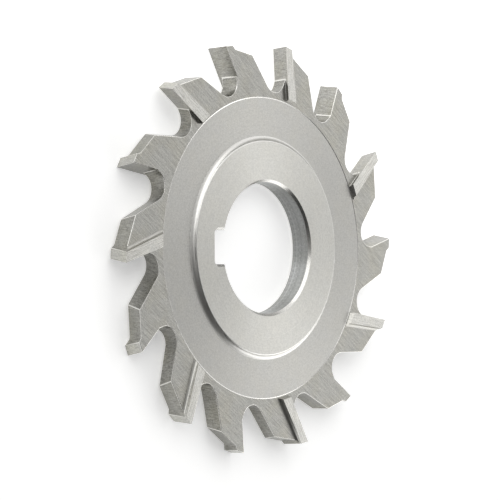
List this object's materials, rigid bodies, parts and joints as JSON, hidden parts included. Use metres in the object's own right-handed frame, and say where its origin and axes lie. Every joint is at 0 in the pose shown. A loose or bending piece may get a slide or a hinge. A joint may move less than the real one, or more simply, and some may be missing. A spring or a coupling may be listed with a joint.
{
  "type": "side and face milling cutter",
  "caption": "Disc-shaped milling cutter with inclined staggered teeth, side lands raised alternately on either face, a thinner web, a raised hub and a keyed round bore.",
  "frame": {"origin": "on the bore's axis, half way through the cutter's width", "axes": "+Z along the bore's axis, towards the face seen in the picture; -X from the axis through the keyway; +Y in the plane of the disc"},
  "size_m": [0.0998, 0.099, 0.006],
  "materials": {
    "tool_steel": "ground and turned bare high-speed steel, satin"
  },
  "bodies": {
    "root": {"side_and_face_cutter": "tool_steel"}
  },
  "joints": []
}
